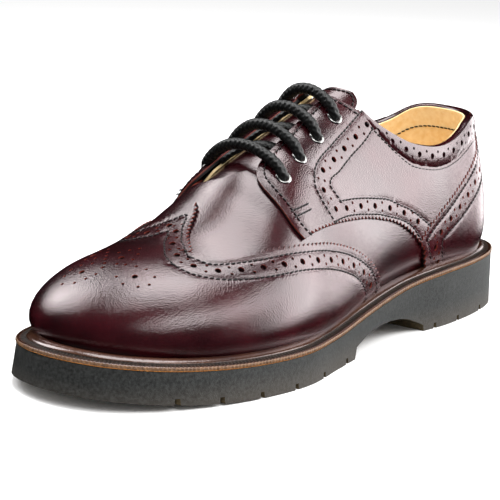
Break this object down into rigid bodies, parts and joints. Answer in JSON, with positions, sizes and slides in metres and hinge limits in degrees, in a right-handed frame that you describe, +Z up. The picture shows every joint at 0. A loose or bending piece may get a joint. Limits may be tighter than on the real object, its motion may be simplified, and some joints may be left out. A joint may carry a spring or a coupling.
{
  "type": "brogue shoe",
  "caption": "Left derby brogue with a pinked wingtip, quarters and heel counter, a padded collar, round laces, a wheeled welt and a chunky rubber sole.",
  "frame": {"origin": "on the ground, under the middle of the sole's length and width", "axes": "+Z up, -Y towards the toe, +Y towards the heel, +X the shoe's outer side"},
  "size_m": [0.113, 0.305, 0.1191],
  "materials": {
    "leather": "high gloss, fine grain",
    "lining": "matte",
    "welt": "glossy",
    "rubber": "matte, speckled",
    "eyelets": "polished",
    "lace": "braided"
  },
  "bodies": {
    "root": {"outsole": "rubber", "welt": "welt", "insole": "lining", "upper": "leather", "wingtip": "leather", "outer_quarter": "leather", "inner_quarter": "leather", "counter": "leather", "outer_collar": "leather", "inner_collar": "leather", "tongue": "leather", "outer_eyelet_1": "eyelets", "outer_eyelet_2": "eyelets", "outer_eyelet_3": "eyelets", "outer_eyelet_4": "eyelets", "inner_eyelet_1": "eyelets", "inner_eyelet_2": "eyelets", "inner_eyelet_3": "eyelets", "inner_eyelet_4": "eyelets", "lace_1": "lace", "lace_2": "lace", "lace_3": "lace", "lace_4": "lace"}
  },
  "joints": []
}
